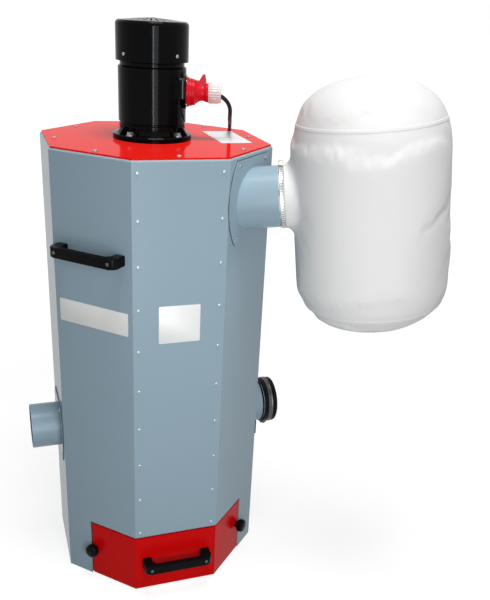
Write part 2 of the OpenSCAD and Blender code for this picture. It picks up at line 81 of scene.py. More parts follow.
SKY_LIGHT = 0.23
NEAR_GLOW = 0.81
FAR_GLOW = 1.0
GLOW_START = 1.2
GLOW_END = 3.5
FLOOR_DROP = 0.0005


def feed(tree, socket, value):
    """Sets a socket, or links another node's socket to it."""
    if isinstance(value, bpy.types.NodeSocket):
        tree.links.new(value, socket)
    else:
        socket.default_value = value


def add_node(tree, kind, settings=(), **inputs):
    """A shader node with its settings made and its inputs fed, by their names with _ for a space."""
    made = tree.nodes.new("ShaderNode" + kind)
    for label, value in dict(settings).items():
        setattr(made, label, value)
    for label, value in inputs.items():
        feed(tree, made.inputs[label.replace("_", " ")], value)
    return made


def math_node(tree, operation, *values):
    """What a math node makes of numbers and other nodes' sockets."""
    made = add_node(tree, "Math", {"operation": operation})
    for socket, value in zip(made.inputs, values):
        feed(tree, socket, value)
    return made.outputs[0]


def ramp(tree, value, start, end, low, high):
    """A value from start to end, turned into one from low to high."""
    made = add_node(tree, "MapRange", Value=value, From_Min=start, From_Max=end, To_Min=low, To_Max=high)
    return made.outputs["Result"]


def seen_factor(tree):
    """1 for camera, glossy and transmission rays, and 0 for the rest."""
    rays = add_node(tree, "LightPath").outputs
    seen = math_node(tree, "MAXIMUM", rays["Is Camera Ray"], rays["Is Glossy Ray"])
    return math_node(tree, "MAXIMUM", seen, rays["Is Transmission Ray"])


world = bpy.data.worlds.new("studio")
scene.world = world
world.use_nodes = True
tree = world.node_tree
sky = tree.nodes["Background"].inputs
feed(tree, sky["Color"], (1, 1, 1, 1))
feed(tree, sky["Strength"], ramp(tree, seen_factor(tree), 0, 1, SKY_LIGHT, 1.0))

floor_mesh = bpy.data.meshes.new("floor")
floor_mesh.from_pydata([(-40, -12, 0), (40, -12, 0), (40, 160, 0), (-40, 160, 0)], [], [(0, 1, 2, 3)])
floor = bpy.data.objects.new("floor", floor_mesh)
scene.collection.objects.link(floor)
floor.location.z = -FLOOR_DROP
floor_paint = bpy.data.materials.new("floor_white")
floor_paint.use_nodes = True
tree = floor_paint.node_tree
floor_place = add_node(tree, "TexCoord").outputs["Object"]
distance = add_node(tree, "VectorMath", {"operation": "LENGTH"}, Vector=floor_place).outputs["Value"]
glow = ramp(tree, distance, GLOW_START, GLOW_END, NEAR_GLOW, FAR_GLOW)
for label, value in (
    ("Base Color", (0.30, 0.30, 0.30, 1)),
    ("Roughness", 0.9),
    ("Specular IOR Level", 0.0),
    ("Emission Color", (1, 1, 1, 1)),
    ("Emission Strength", math_node(tree, "MULTIPLY", glow, seen_factor(tree))),
):
    feed(tree, tree.nodes["Principled BSDF"].inputs[label], value)
floor_mesh.materials.append(floor_paint)


def area_lamp(name, azimuth, elevation, distance, size, watts, aim):
    """A rectangular lamp that looks at aim from an azimuth counted from the front towards +X."""
    data = bpy.data.lights.new(name, "AREA")
    data.shape = "RECTANGLE"
    data.size, data.size_y = size
    data.energy = watts
    lamp = bpy.data.objects.new(name, data)
    a, e = math.radians(azimuth), math.radians(elevation)
    out = Vector((math.sin(a) * math.cos(e), -math.cos(a) * math.cos(e), math.sin(e)))
    lamp.location = Vector(aim) + out * distance
    lamp.rotation_euler = out.to_track_quat("Z", "Y").to_euler()
    scene.collection.objects.link(lamp)
    return lamp


area_lamp("front_lamp", azimuth=-2, elevation=5, distance=1.80, size=(0.5, 1.5), watts=15, aim=(0, 0, 0.85))
area_lamp("top_lamp", azimuth=8, elevation=78, distance=3.4, size=(1.5, 1.5), watts=98, aim=(0.15, 0, 1.2))
strip = area_lamp("strip_lamp", azimuth=-9, elevation=-4, distance=3.4, size=(0.12, 1.6), watts=34,
                  aim=(0, 0, 1.3))
strip.visible_diffuse = False
strip.data.color = (0.62, 0.84, 1.0)

# ---------------------------------------------------------------------------
# Supply lead: black rubber cable from the coupling's gland, over the cabinet's back edge and down
# to the floor, where it lies in a tied coil of three turns and a quarter that ends at its plug.
LEAD_DIAMETER = 10.5 * MM
MOTOR_X = -8 * MM
SUPPLY_ANGLE = math.radians(-18)
SUPPLY_HEIGHT = 1341 * MM
GLAND_SEAT = 146 * MM
supply_out = Vector((math.cos(SUPPLY_ANGLE), math.sin(SUPPLY_ANGLE), 0))
gland_exit = Vector((MOTOR_X, 0, SUPPLY_HEIGHT)) + GLAND_SEAT * supply_out
lead_points = [gland_exit] + [MM * Vector(p) for p in (
    (143.7, -47.7, 1338.6), (155.5, -48.9, 1334.6), (166, -48.4, 1328.6), (174.9, -46.3, 1320.6),
    (181.9, -42.3, 1311.3), (187.4, -35.9, 1299.8), (191.2, -24.8, 1285.3), (195.8, -9.8, 1273.6),
    (201.6, 7.5, 1266.8), (207.6, 26, 1262.2), (216.6, 53.8, 1255.3), (230.7, 97.2, 1244.5),
    (240.7, 128.4, 1235.4), (247, 148.6, 1229.8), (252.2, 164.3, 1223.5), (256.7, 176.8, 1213.7),
    (259.7, 185.9, 1200), (261.6, 191.2, 1183), (262.6, 194.5, 1163), (264.2, 204.3, 1130),
    (265.5, 209.5, 1065), (267.4, 215.8, 1000), (270, 224, 920), (271.5, 230, 820), (272.5, 236, 700),
    (273, 242, 540), (274, 251, 370), (276.5, 264, 240), (279, 277, 150), (280.8, 285.4, 100),
    (282, 290, 66), (283.3, 294.6, 45.5), (286, 304.6, 28), (289.6, 319.5, 15.4), (293.4, 337, 8.4),
    (296.7, 356, 5.6), (299.3, 379, 5.3), (300.3, 405, 5.3), (300.5, 431, 5.3),
)]
COIL_CENTRE = Vector((232.4, 431, 0)) * MM
COIL_RADIUS = 62.8 * MM
COIL_TURNS = 3.25
COIL_STEPS = 20
PLUG_GAP = 62 * MM
PLUG_REAR_HEIGHT = 14.1 * MM


def smooth_through(points, steps):
    """Points of a Catmull-Rom curve through the given ones."""
    out = []
    last = len(points) - 1
    for i in range(last):
        a, b, c, d = points[max(i - 1, 0)], points[i], points[i + 1], points[min(i + 2, last)]
        for k in range(steps):
            u = k / steps
            out.append(0.5 * (2 * b + (c - a) * u + (2 * a - 5 * b + 4 * c - d) * u * u
                              + (3 * b - a - 3 * c + d) * u ** 3))
    out.append(points[last])
    return out


def eased(value, start, end):
    """0 before start, 1 after end and smooth between."""
    u = min(max((value - start) / (end - start), 0), 1)
    return u * u * (3 - 2 * u)


def coil_point(turn):
    """Place of the lead after a number of turns: out and in on the floor, then in and out on top."""
    inward = eased(turn, 0.76, 0.94) - eased(turn, 2.02, 2.2)
    rise = eased(turn, 1.78, 1.94)
    outward = eased(turn, 2.80, 3.02) - 0.35 * eased(turn, 3.05, 3.25)
    sag = 0.42 * eased(turn, 3.0, 3.2)
    radius = COIL_RADIUS + LEAD_DIAMETER * (0.5 - inward + outward)
    height = LEAD_DIAMETER * (0.505 + rise - sag)
    angle = math.radians(360 * turn)
    return COIL_CENTRE + Vector((radius * math.cos(angle), radius * math.sin(angle), height))


coil_points = [coil_point(k / COIL_STEPS) for k in range(1, round(COIL_TURNS * COIL_STEPS) + 1)]
plug_rear = Vector((COIL_CENTRE.x - PLUG_GAP, COIL_CENTRE.y + COIL_RADIUS + LEAD_DIAMETER / 2,
                    PLUG_REAR_HEIGHT))
tail = [plug_rear + Vector((d * MM, 0.0, h * MM)) for d, h in ((38, -2.6), (18, -0.8), (0, 0.4))]
lead_path = smooth_through(lead_points, 5)[:-1] + smooth_through([lead_points[-1]] + coil_points + tail, 3)

lead_curve = bpy.data.curves.new("supply_lead_cable", "CURVE")
lead_curve.dimensions = "3D"
lead_curve.bevel_depth = LEAD_DIAMETER / 2
lead_curve.bevel_resolution = 4
lead_curve.use_fill_caps = True
spline = lead_curve.splines.new("POLY")
spline.points.add(len(lead_path) - 1)
for point, place in zip(spline.points, lead_path):
    point.co = (*place, 1)
lead = bpy.data.objects.new("supply_lead_cable", lead_curve)
scene.collection.objects.link(lead)


def make_group(name, inputs, outputs):
    """A shader node group, with the sockets it is given and those of its result."""
    group = bpy.data.node_groups.new(name, "ShaderNodeTree")
    for label, kind, value in inputs:
        socket = group.interface.new_socket(label, in_out="INPUT", socket_type=kind)
        socket.default_value = value
    for label, kind in outputs:
        group.interface.new_socket(label, in_out="OUTPUT", socket_type=kind)
    return group, group.nodes.new("NodeGroupInput").outputs, group.nodes.new("NodeGroupOutput").inputs


def grain_group():
    """Fine relief of a surface: noise of one size as a bump, for orange peel, castings and rubber."""
    group, given, result = make_group(
        "fine_grain",
        [("Scale", "NodeSocketFloat", 900.0), ("Depth", "NodeSocketFloat", 0.0001),
         ("Strength", "NodeSocketFloat", 0.3)],
        [("Normal", "NodeSocketVector")],
    )
    place = add_node(group, "TexCoord").outputs["Object"]
    noise = add_node(group, "TexNoise", Vector=place, Scale=given["Scale"], Detail=2.0).outputs["Fac"]
    bump = add_node(group, "Bump", Height=noise, Strength=given["Strength"], Distance=given["Depth"])
    feed(group, result["Normal"], bump.outputs["Normal"])
    return group


MARKS_START = 0.42
MARKS_END = 0.72


def drift_group():
    """Slow change of tone over a surface and a mask of handling marks, from 0 to 1."""
    group, given, result = make_group(
        "tone_drift",
        [("Colour", "NodeSocketColor", (0.5, 0.5, 0.5, 1)), ("Scale", "NodeSocketFloat", 4.0),
         ("Drift", "NodeSocketFloat", 0.05)],
        [("Colour", "NodeSocketColor"), ("Marks", "NodeSocketFloat")],
    )
    place = add_node(group, "TexCoord").outputs["Object"]
    noise = add_node(group, "TexNoise", Vector=place, Scale=given["Scale"], Detail=4.0).outputs["Fac"]
    centred = math_node(group, "SUBTRACT", noise, 0.5)
    spread = math_node(group, "MULTIPLY_ADD", centred, given["Drift"], 1.0)
    toned = add_node(group, "VectorMath", {"operation": "SCALE"}, Vector=given["Colour"], Scale=spread)
    finer = math_node(group, "MULTIPLY", given["Scale"], 7.0)
    marks = add_node(group, "TexNoise", Vector=place, Scale=finer, Detail=6.0, Roughness=0.7).outputs["Fac"]
    feed(group, result["Colour"], toned.outputs["Vector"])
    feed(group, result["Marks"], ramp(group, marks, MARKS_START, MARKS_END, 0, 1))
    return group


fine_grain = grain_group()
tone_drift = drift_group()


def finish(name, colour, roughness, drift=0.05, drift_scale=4.0, grain=(900.0, 0.1, 0.3), worn=0.08,
           **constants):
    """A material whose colour drifts and whose roughness rises where it is handled, with a fine relief.

    grain is the relief's scale, its depth in millimetres and its strength."""
    made = bpy.data.materials.new(name)
    made.use_nodes = True
    tree = made.node_tree
    shader = tree.nodes["Principled BSDF"].inputs
    shader["Base Color"].default_value = (*colour, 1)
    for label, value in constants.items():
        shader[label.replace("_", " ")].default_value = value
    size, depth, strength = grain
    tone = add_node(tree, "Group", {"node_tree": tone_drift}, Colour=(*colour, 1), Scale=drift_scale,
                    Drift=drift * 4)
    relief = add_node(tree, "Group", {"node_tree": fine_grain}, Scale=size, Depth=depth * MM, Strength=strength)
    feed(tree, shader["Base Color"], tone.outputs["Colour"])
    feed(tree, shader["Roughness"], ramp(tree, tone.outputs["Marks"], 0, 1, roughness, roughness + worn))
    feed(tree, shader["Normal"], relief.outputs["Normal"])
    return made


lead_rubber = finish("lead_rubber", (0.010, 0.010, 0.011), 0.42, grain=(2500.0, 0.05, 0.4),
                     Specular_IOR_Level=0.25)
lead_curve.materials.append(lead_rubber)
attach(lead, "cabinet")
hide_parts("supply_lead", "lead_coil")


def paint_node(name, material):
    """Gives a CAD node a finished material in every slot."""
    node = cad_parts[name]
    node.data.materials.clear()
    node.data.materials.append(material)
    for face in node.data.polygons:
        face.material_index = 0


plug_red = finish("plug_red", (0.66, 0.008, 0.022), 0.3, drift=0.04, grain=(1600.0, 0.06, 0.3),
                  Specular_IOR_Level=0.15)
paint_node("lead_plug", plug_red)


def circle_points(radius, sides):
    """Points of a circle about the origin, anticlockwise."""
    return [Vector((radius * math.cos(a), radius * math.sin(a)))
            for a in (2 * math.pi * k / sides for k in range(sides))]


def bridge(shape, lower, upper):
    """Closes the gap between two rings of vertices with faces."""
    for k, _ in enumerate(lower):
        n = (k + 1) % len(lower)
        shape.faces.new((lower[k], lower[n], upper[n], upper[k]))


def lathe(name, profile, steps, turn=Matrix.Identity(4), ribs=0, rib_depth=0.0):
    """Closed body turned about Z from (radius, height) points, placed by a matrix.

    Its ribs reach in from the widest part, and fade away towards the axis."""
    widest = max(radius for radius, _ in profile)
    shape = bmesh.new()
    rings = []
    for radius, height in profile:
        if radius < 1e-7:
            rings.append([shape.verts.new((0, 0, height))])
            continue
        ring = []
        for k in range(steps):
            angle = 2 * math.pi * k / steps
            reach = radius - rib_depth * (0.5 - 0.5 * math.cos(ribs * angle)) * (radius / widest) ** 8
            ring.append(shape.verts.new((reach * math.cos(angle), reach * math.sin(angle), height)))
        rings.append(ring)
    pairs = list(zip(rings, rings[1:]))
    if profile[0][0] > 1e-7 and profile[-1][0] > 1e-7:
        pairs.append((rings[-1], rings[0]))
    for lower, upper in pairs:
        for k in range(steps):
            n = (k + 1) % steps
            corners = (lower[k % len(lower)], lower[n % len(lower)], upper[n % len(upper)],
                       upper[k % len(upper)])
            ordered = list(dict.fromkeys(corners))
            if len(ordered) > 2:
                shape.faces.new(ordered)
    return closed_mesh(name, shape, turn)


def closed_mesh(name, shape, turn=Matrix.Identity(4)):
    """Finishes a bmesh as a mesh with its faces outwards, placed by a matrix."""
    bmesh.ops.recalc_face_normals(shape, faces=shape.faces)
    bmesh.ops.transform(shape, matrix=turn, verts=shape.verts)
    mesh = bpy.data.meshes.new(name)
    shape.to_mesh(mesh)
    shape.free()
    return mesh


def evaluated(piece):
    """The mesh of an object with its modifiers in it."""
    bpy.context.view_layer.update()
    depsgraph = bpy.context.evaluated_depsgraph_get()
    return bpy.data.meshes.new_from_object(piece.evaluated_get(depsgraph), depsgraph=depsgraph)


def baked(piece):
    """Turns an object's modifiers into its mesh."""
    mesh = evaluated(piece)
    piece.modifiers.clear()
    piece.data = mesh


def add_piece(name, mesh, material, body, slot_name=None, replaced=(), smooth=35):
    """A finished piece that rides on a CAD body and may stand for some of its nodes."""
    piece = bpy.data.objects.new(name, mesh)
    scene.collection.objects.link(piece)
    if not mesh.materials:
        mesh.materials.append(material)
    if smooth:
        mesh.shade_smooth()
        mesh.set_sharp_from_angle(angle=math.radians(smooth))
    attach(piece, body)
    if replaced:
        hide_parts(*replaced)
    return piece


TIE_WIDTH = 8 * MM
TIE_ANGLES = (150, 265)
TIE_CLEARANCE = 0.0004
tie_inside = LEAD_DIAMETER + 0.6 * MM
tie_outside = tie_inside + 1.2 * MM
for angle in TIE_ANGLES:
    spin = Matrix.Translation(COIL_CENTRE + Vector((0, 0, LEAD_DIAMETER)))
    spin = spin @ Matrix.Rotation(math.radians(angle), 4, "Z") @ Matrix.Translation((COIL_RADIUS, 0, 0))
    spin = spin @ QUARTER_X
    mesh = lathe(f"coil_tie_{angle}", [
        (tie_inside, -TIE_WIDTH / 2), (tie_outside, -TIE_WIDTH / 2),
        (tie_outside, TIE_WIDTH / 2), (tie_inside, TIE_WIDTH / 2),
    ], 40, spin)
    for corner in mesh.vertices:
        corner.co.z = max(corner.co.z, TIE_CLEARANCE)
    add_piece(f"coil_tie_{angle}", mesh, lead_rubber, "cabinet", "lead_rubber")

# ---------------------------------------------------------------------------
# Cabinet walls: folded 2 mm sheet steel in blue-grey gloss enamel with a light orange peel.
# The front cover is screwed to its rails with a row of pan-head screws along each edge.
body_paint = finish("body_paint", (0.32, 0.44, 0.52), 0.25, drift=0.02, drift_scale=2.2,
                    grain=(420.0, 0.02, 0.02), worn=0.02, Specular_IOR_Level=0.14)
inside_paint = finish("inside_paint", (0.20, 0.28, 0.33), 0.42, drift=0.04, drift_scale=5.0,
                      grain=(420.0, 0.12, 0.2))
screw_zinc = finish("screw_zinc", (0.36, 0.41, 0.45), 0.42, drift=0.06, drift_scale=40.0,
                    grain=(2600.0, 0.03, 0.3), Metallic=0.85)
for wall in ("front_cover", "left_front_wall", "right_front_wall", "left_wall", "right_wall",
             "back_left_wall", "back_right_wall", "back_wall"):
    paint_node(wall, body_paint)
for hidden in ("base_plate", "cover_rails", "drawer_header", "left_jamb", "right_jamb", "dust_tray"):
    paint_node(hidden, inside_paint)

HALF = -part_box("front_cover")[0].y
LID_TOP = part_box("lid")[1].z


def face_place(k, along, height, out=0.0):
    """Matrix that sets XY onto face k, counted anticlockwise from the front, with Z pointing out of it."""
    turned = Matrix.Rotation(math.radians(45 * k), 4, "Z")
    return turned @ Matrix.Translation((along, -HALF - out, height)) @ QUARTER_X


def pan_head(radius, height):
    """Mesh of a pan-head screw on the XY plane, with a cross recess."""
    shape = bmesh.new()
    rings = []
    for reach, level in ((0.96, -0.2), (1.0, 0.15), (0.90, 0.62), (0.56, 1.0)):
        rings.append([shape.verts.new((*(radius * reach * p), height * level))
                      for p in circle_points(1.0, 16)])
    for lower, upper in zip(rings, rings[1:]):
        bridge(shape, lower, upper)
    shape.faces.new(list(reversed(rings[0])))
    arm, wide = 0.42 * radius, 0.11 * radius
    quarter = [(wide, wide), (wide, arm), (-wide, arm)]
    cross = [Matrix.Rotation(math.radians(90 * q), 2) @ Vector(p) for q in range(4) for p in quarter]
    rim = [shape.verts.new((*p, height)) for p in cross]
    deep = [shape.verts.new((*(0.8 * p), 0.5 * height)) for p in cross]
    edges = [shape.edges.get((a, b)) or shape.edges.new((a, b)) for loop in (rings[-1], rim)
             for a, b in zip(loop, loop[1:] + loop[:1])]
    bridge(shape, rim, deep)
    shape.faces.new(deep)
    bmesh.ops.triangle_fill(shape, edges=edges, use_beauty=True)
    return closed_mesh("pan_head", shape)


def hex_bolt(radius, height, washer):
    """Mesh of a hexagon bolt head on its washer, standing on the XY plane."""
    shape = bmesh.new()
    washer_top = 0.28 * height
    for points, levels in (
        (circle_points(washer, 24), (-0.1 * height, washer_top)),
        (circle_points(radius, 6), (washer_top, height)),
    ):
        low = [shape.verts.new((*p, levels[0])) for p in points]
        high = [shape.verts.new((*(0.98 * p), levels[1])) for p in points]
        bridge(shape, low, high)
        shape.faces.new(list(reversed(low)))
        shape.faces.new(high)
    return closed_mesh("hex_bolt", shape)


def scatter_tree():
    """Geometry nodes that set a copy of an object on every point, turned as the point's attribute says."""
    tree = bpy.data.node_groups.new("fixing_rows", "GeometryNodeTree")
    tree.is_modifier = True
    add, link = tree.nodes.new, tree.links.new
    for label, kind in (("Points", "NodeSocketGeometry"), ("Fixing", "NodeSocketObject"),
                        ("Finish", "NodeSocketMaterial")):
        tree.interface.new_socket(label, in_out="INPUT", socket_type=kind)
    tree.interface.new_socket("Geometry", in_out="OUTPUT", socket_type="NodeSocketGeometry")
    given, result = add("NodeGroupInput"), add("NodeGroupOutput")
    turn = add("GeometryNodeInputNamedAttribute")
    turn.data_type = "QUATERNION"
    turn.inputs["Name"].default_value = "turn"
    fixing = add("GeometryNodeObjectInfo")
    place = add("GeometryNodeInstanceOnPoints")
    real = add("GeometryNodeRealizeInstances")
    paint = add("GeometryNodeSetMaterial")
    link(given.outputs["Fixing"], fixing.inputs["Object"])
    link(given.outputs["Points"], place.inputs["Points"])
    link(fixing.outputs["Geometry"], place.inputs["Instance"])
    link(turn.outputs["Attribute"], place.inputs["Rotation"])
    link(place.outputs["Instances"], real.inputs["Geometry"])
    link(real.outputs["Geometry"], paint.inputs["Geometry"])
    link(given.outputs["Finish"], paint.inputs["Material"])
    link(paint.outputs["Geometry"], result.inputs["Geometry"])
    return tree


fixing_rows = scatter_tree()
SPIN = 37


def add_fixings(name, head, places, material, body, slot_name, spin=0, **options):
    """One piece with a copy of a head at every place, each given by a matrix, and each spun further."""
    cloud = bpy.data.meshes.new(name)
    cloud.from_pydata([place.translation for place in places], [], [])
    turns = cloud.attributes.new("turn", "QUATERNION", "POINT")
    for index, (item, place) in enumerate(zip(turns.data, places)):
        item.value = (place.to_3x3() @ Matrix.Rotation(math.radians(spin * index), 3, "Z")).to_quaternion()
    rows = bpy.data.objects.new(name + "_rows", cloud)
    sample = bpy.data.objects.new(name + "_sample", head)
    for made in (rows, sample):
        scene.collection.objects.link(made)
    modifier = rows.modifiers.new("rows", "NODES")
    modifier.node_group = fixing_rows
    sockets = {item.name: item.identifier for item in fixing_rows.interface.items_tree
               if item.in_out == "INPUT"}
    modifier[sockets["Fixing"]] = sample
    modifier[sockets["Finish"]] = material
    mesh = evaluated(rows)
    mesh.name = name
    for made in (rows, sample):
        bpy.data.objects.remove(made)
    return add_piece(name, mesh, material, body, slot_name, **options)


def add_screws(name, radius, height, places, material=screw_zinc, body="cabinet", slot_name="clamp_steel"):
    """One piece with a pan-head screw at every place, its size in millimetres."""
    add_fixings(name, pan_head(radius * MM, height * MM), places, material, body, slot_name, SPIN)


COVER_ROWS = 10
COVER_ALONG = 102 * MM
COVER_FOOT = 199 * MM
COVER_STEP = 110.5 * MM
cover_places = [face_place(0, side * COVER_ALONG, COVER_FOOT + COVER_STEP * row)
                for side in (-1, 1) for row in range(COVER_ROWS)]
add_screws("cover_screws", 4.6, 2.4, cover_places)

# Lid: one octagonal plate in bright red gloss enamel, screwed down near the middle of each edge.
# A bare white plate is glued on it beside the motor.
lid_paint = finish("lid_paint", (0.85, 0.014, 0.010), 0.10, drift=0.012, drift_scale=3.0,
                   grain=(420.0, 0.06, 0.05), worn=0.05, Specular_IOR_Level=0.01)
paint_node("lid", lid_paint)
LID_SCREW_INSET = 26 * MM
lid_places = [
    Matrix.Rotation(math.radians(45 * k), 4, "Z") @ Matrix.Translation((0, LID_SCREW_INSET - HALF, LID_TOP))
    for k in range(8)
]
add_screws("lid_screws", 6.0, 3.2, lid_places)


def prism(name, outline, thickness, turn=Matrix.Identity(4), bevel=0.0, segments=2):
    """Closed plate of an XY outline with a thickness along Z, its edges rounded if asked."""
    shape = bmesh.new()
    low = [shape.verts.new((p[0], p[1], 0)) for p in outline]
    high = [shape.verts.new((p[0], p[1], thickness)) for p in outline]
    bridge(shape, low, high)
    shape.faces.new(list(reversed(low)))
    shape.faces.new(high)
    if bevel:
        edges = [shape.edges.get((ring[k], ring[(k + 1) % len(ring)]))
                 for k, _ in enumerate(low) for ring in (low, high)]
        bmesh.ops.bevel(shape, geom=edges, offset=bevel, segments=segments, profile=0.5, affect="EDGES")
    return closed_mesh(name, shape, turn)


def rounded_box(width, height, corner, steps=5):
    """Outline of a rectangle about the origin with rounded corners."""
    out = []
    for q, (x, y) in enumerate(((1, 1), (-1, 1), (-1, -1), (1, -1))):
        middle = Vector((x * (width / 2 - corner), y * (height / 2 - corner)))
        out += [middle + corner * Vector((math.cos(a), math.sin(a)))
                for a in (math.radians(90 * q + 90 * i / steps) for i in range(steps + 1))]
    return out


PLATE_THICKNESS = 0.5 * MM
PLATE_SINK = 0.1 * MM
PLATE_EASE = 0.15 * MM
plate_white = finish("plate_white", (0.86, 0.87, 0.87), 0.3, drift=0.01, drift_scale=12.0,
                     grain=(1500.0, 0.03, 0.15))

# Each plate's place and size: one on the lid, and one on each front face where the maker's own would be.
for name, turn, width, tall, corner in (
    ("lid_plate", Matrix.Translation((192 * MM, 0.5 * MM, LID_TOP - PLATE_SINK)), 82 * MM, 185 * MM, 3 * MM),
    ("front_plate", face_place(0, 0.5 * MM, 818.5 * MM, -PLATE_SINK), 105 * MM, 99 * MM, 2.5 * MM),
    ("left_front_plate", face_place(-1, -1 * MM, 821 * MM, -PLATE_SINK), 206 * MM, 60 * MM, 2.5 * MM),
):
    outline = rounded_box(width, tall, corner)
    add_piece(name, prism(name, outline, PLATE_THICKNESS, turn, PLATE_EASE), plate_white, "cabinet")

# ---------------------------------------------------------------------------
# Drawer front: folded sheet in a deeper red gloss, pulled tight by a round black knob on each wing.
drawer_paint = finish("drawer_paint", (0.70, 0.0035, 0.004), 0.2, drift=0.02, drift_scale=4.0,
                      grain=(420.0, 0.06, 0.06), worn=0.06, Specular_IOR_Level=0.04)
paint_node("drawer_front", drawer_paint)
handle_black = finish("handle_black", (0.003, 0.003, 0.0033), 0.3, grain=(1800.0, 0.06, 0.4),
                      Specular_IOR_Level=0.05)
for part in ("left_knob", "right_knob", "cooling_fan"):
    paint_node(part, handle_black)

# Bridge handles: glass-filled black plastic bars bent to two thick legs and a flatter grip, each leg
# held by a screw whose head sits in its face.
HANDLE_LENGTH = 192 * MM
HANDLE_REACH = 46 * MM
HANDLE_WIDTH = 26 * MM
HANDLE_LEG = 25 * MM
HANDLE_GRIP = 14 * MM
HANDLE_CORNER = 15 * MM
HANDLE_SCREW = 78 * MM
HANDLE_EASE = 2.6 * MM
HANDLE_INNER_CORNER = HANDLE_CORNER - 5 * MM


def arch_outline(half_width, height, corner, steps=7):
    """Outline of an arch from its right foot over to its left foot."""
    out = [Vector((half_width, 0))]
    for side, start in ((1, 0), (-1, 90)):
        middle = Vector((side * (half_width - corner), height - corner))
        out += [middle + corner * Vector((math.cos(a), math.sin(a)))
                for a in (math.radians(start + 90 * i / steps) for i in range(steps + 1))]
    return out + [Vector((-half_width, 0))]


def handle_mesh(name, k, height):
    """A bridge handle standing on face k: the bar's outline drawn across its width, with eased edges."""
    outer = arch_outline(HANDLE_LENGTH / 2, HANDLE_REACH, HANDLE_CORNER)
    inner = arch_outline(HANDLE_LENGTH / 2 - HANDLE_LEG, HANDLE_REACH - HANDLE_GRIP, HANDLE_INNER_CORNER)
    turn = (face_place(k, 0, height) @ QUARTER_X
            @ Matrix.Translation((0, 0, -HANDLE_WIDTH / 2)))
    return prism(name, outer + list(reversed(inner)), HANDLE_WIDTH, turn, HANDLE_EASE, 3)


screw_dark = finish("screw_dark", (0.10, 0.10, 0.105), 0.35, drift=0.06, drift_scale=40.0,
                    grain=(2600.0, 0.03, 0.3), Metallic=0.8)
for name, k, height, body in (("drawer_handle", 0, 98 * MM, "drawer"),
                              ("front_carry_handle", -1, 985 * MM, "cabinet"),
                              ("back_carry_handle", 3, 985 * MM, "cabinet")):
    add_piece(name + "_bar", handle_mesh(name + "_bar", k, height), handle_black, body, "handle_plastic",
              (name,), 40)
    add_screws(name + "_screws", 4.4, 1.6,
               [face_place(k, side * HANDLE_SCREW, height, HANDLE_REACH) for side in (-1, 1)], screw_dark, body)

# ---------------------------------------------------------------------------
# Ducts: rolled pipes on plate flanges, painted with the body. Each flange is bedded on a thin dark band
# whose rim, out past the flange, is painted shade for the shade line along its edge, and held by four screws;
# the outlet leaves its face at a slant.
INLET_HEIGHT = 417 * MM
OUTLET_HEIGHT = 1109 * MM
OUTLET_TURN = 24
OUTLET_RISE = 7
for part in ("outlet_flange", "outlet_pipe", "left_inlet_flange", "left_inlet_pipe",
             "right_inlet_flange", "right_inlet_pipe"):
    paint_node(part, body_paint)
# Dark blue-grey band under each flange: painted shade, its rim drawing the shade line along the flange's edge.
shade_band_grey = finish("shade_band_grey", (0.030, 0.036, 0.042), 0.5, grain=(900.0, 0.2, 0.5))


def flange_outline(half_height, grow, steps=12):
    """Outline of a duct flange with bowed sides, straight top and foot, and its edge moved out."""
    bow = half_height * 166 / 102 + grow
    shift = half_height * 49 / 102
    tall = half_height + grow
    reach = math.asin(tall / bow)
    side = [Vector((bow * math.cos(a) - shift, bow * math.sin(a)))
            for a in (reach * (2 * i / steps - 1) for i in range(steps + 1))]
    return side + [-p for p in side]


FLANGE_THICKNESS = 3 * MM
SHADE_BAND_THICKNESS = 1.2 * MM
SHADE_BAND_EDGE = 1.3 * MM


def band(name, outer, inner, thickness, turn):
    """Closed flat band between two outlines with the same number of points, with a thickness along Z."""
    shape = bmesh.new()
    loops = [[shape.verts.new((p[0], p[1], level)) for p in outline]
             for outline, level in ((outer, 0), (outer, thickness), (inner, thickness), (inner, 0))]
    for lower, upper in zip(loops, loops[1:] + loops[:1]):
        bridge(shape, lower, upper)
    return closed_mesh(name, shape, turn)


flange_places = []
for name, k, height, half_height, bolt_x, bolt_y in (
    ("outlet", 1, OUTLET_HEIGHT, 102 * MM, 70 * MM, 89 * MM),
    ("left_inlet", -2, INLET_HEIGHT, 84 * MM, 58 * MM, 73 * MM),
    ("right_inlet", 2, INLET_HEIGHT, 84 * MM, 58 * MM, 73 * MM),
):
    # The band's rim stands out past the flange as a dark line of painted shade.
    shade_band = band(name + "_seal", flange_outline(half_height, SHADE_BAND_EDGE), flange_outline(half_height, -SHADE_BAND_EDGE),
                SHADE_BAND_THICKNESS, face_place(k, 0, height))
    add_piece(name + "_seal", shade_band, shade_band_grey, "cabinet", "cap_rubber", smooth=0)
    flange_places += [face_place(k, sx * bolt_x, height + sy * bolt_y, FLANGE_THICKNESS)
                      for sx in (-1, 1) for sy in (-1, 1)]
add_screws("flange_screws", 4.6, 2.4, flange_places)

outlet_place = face_place(1, 0, OUTLET_HEIGHT)
outlet_place = outlet_place @ Matrix.Rotation(math.radians(OUTLET_TURN), 4, "Y")
outlet_place = outlet_place @ Matrix.Rotation(math.radians(-OUTLET_RISE), 4, "X")

# ---------------------------------------------------------------------------
# Worm-drive clamps: a rolled steel band, its punched thread drawn as thin black marks that paint the shade
# in its slots, and the screw in its housing. One holds the bag's sleeve on the outlet, one the moulded rubber
# cap on the spare inlet, whose thin tie hangs down.
clamp_steel = finish("clamp_steel", (0.60, 0.60, 0.59), 0.28, drift=0.05, drift_scale=30.0,
                     grain=(2200.0, 0.03, 0.3), Metallic=1.0)
cap_rubber = finish("cap_rubber", (0.005, 0.005, 0.005), 0.4, grain=(900.0, 0.12, 0.45),
                    Specular_IOR_Level=0.07)
SLOT_SPACING = math.radians(5)
HOUSING_SPREAD = math.radians(14)


def joined(name, meshes):
    """One mesh of several."""
    shape = bmesh.new()
    for mesh in meshes:
        shape.from_mesh(mesh)
        bpy.data.meshes.remove(mesh)
    made = bpy.data.meshes.new(name)
    shape.to_mesh(made)
    shape.free()
    return made


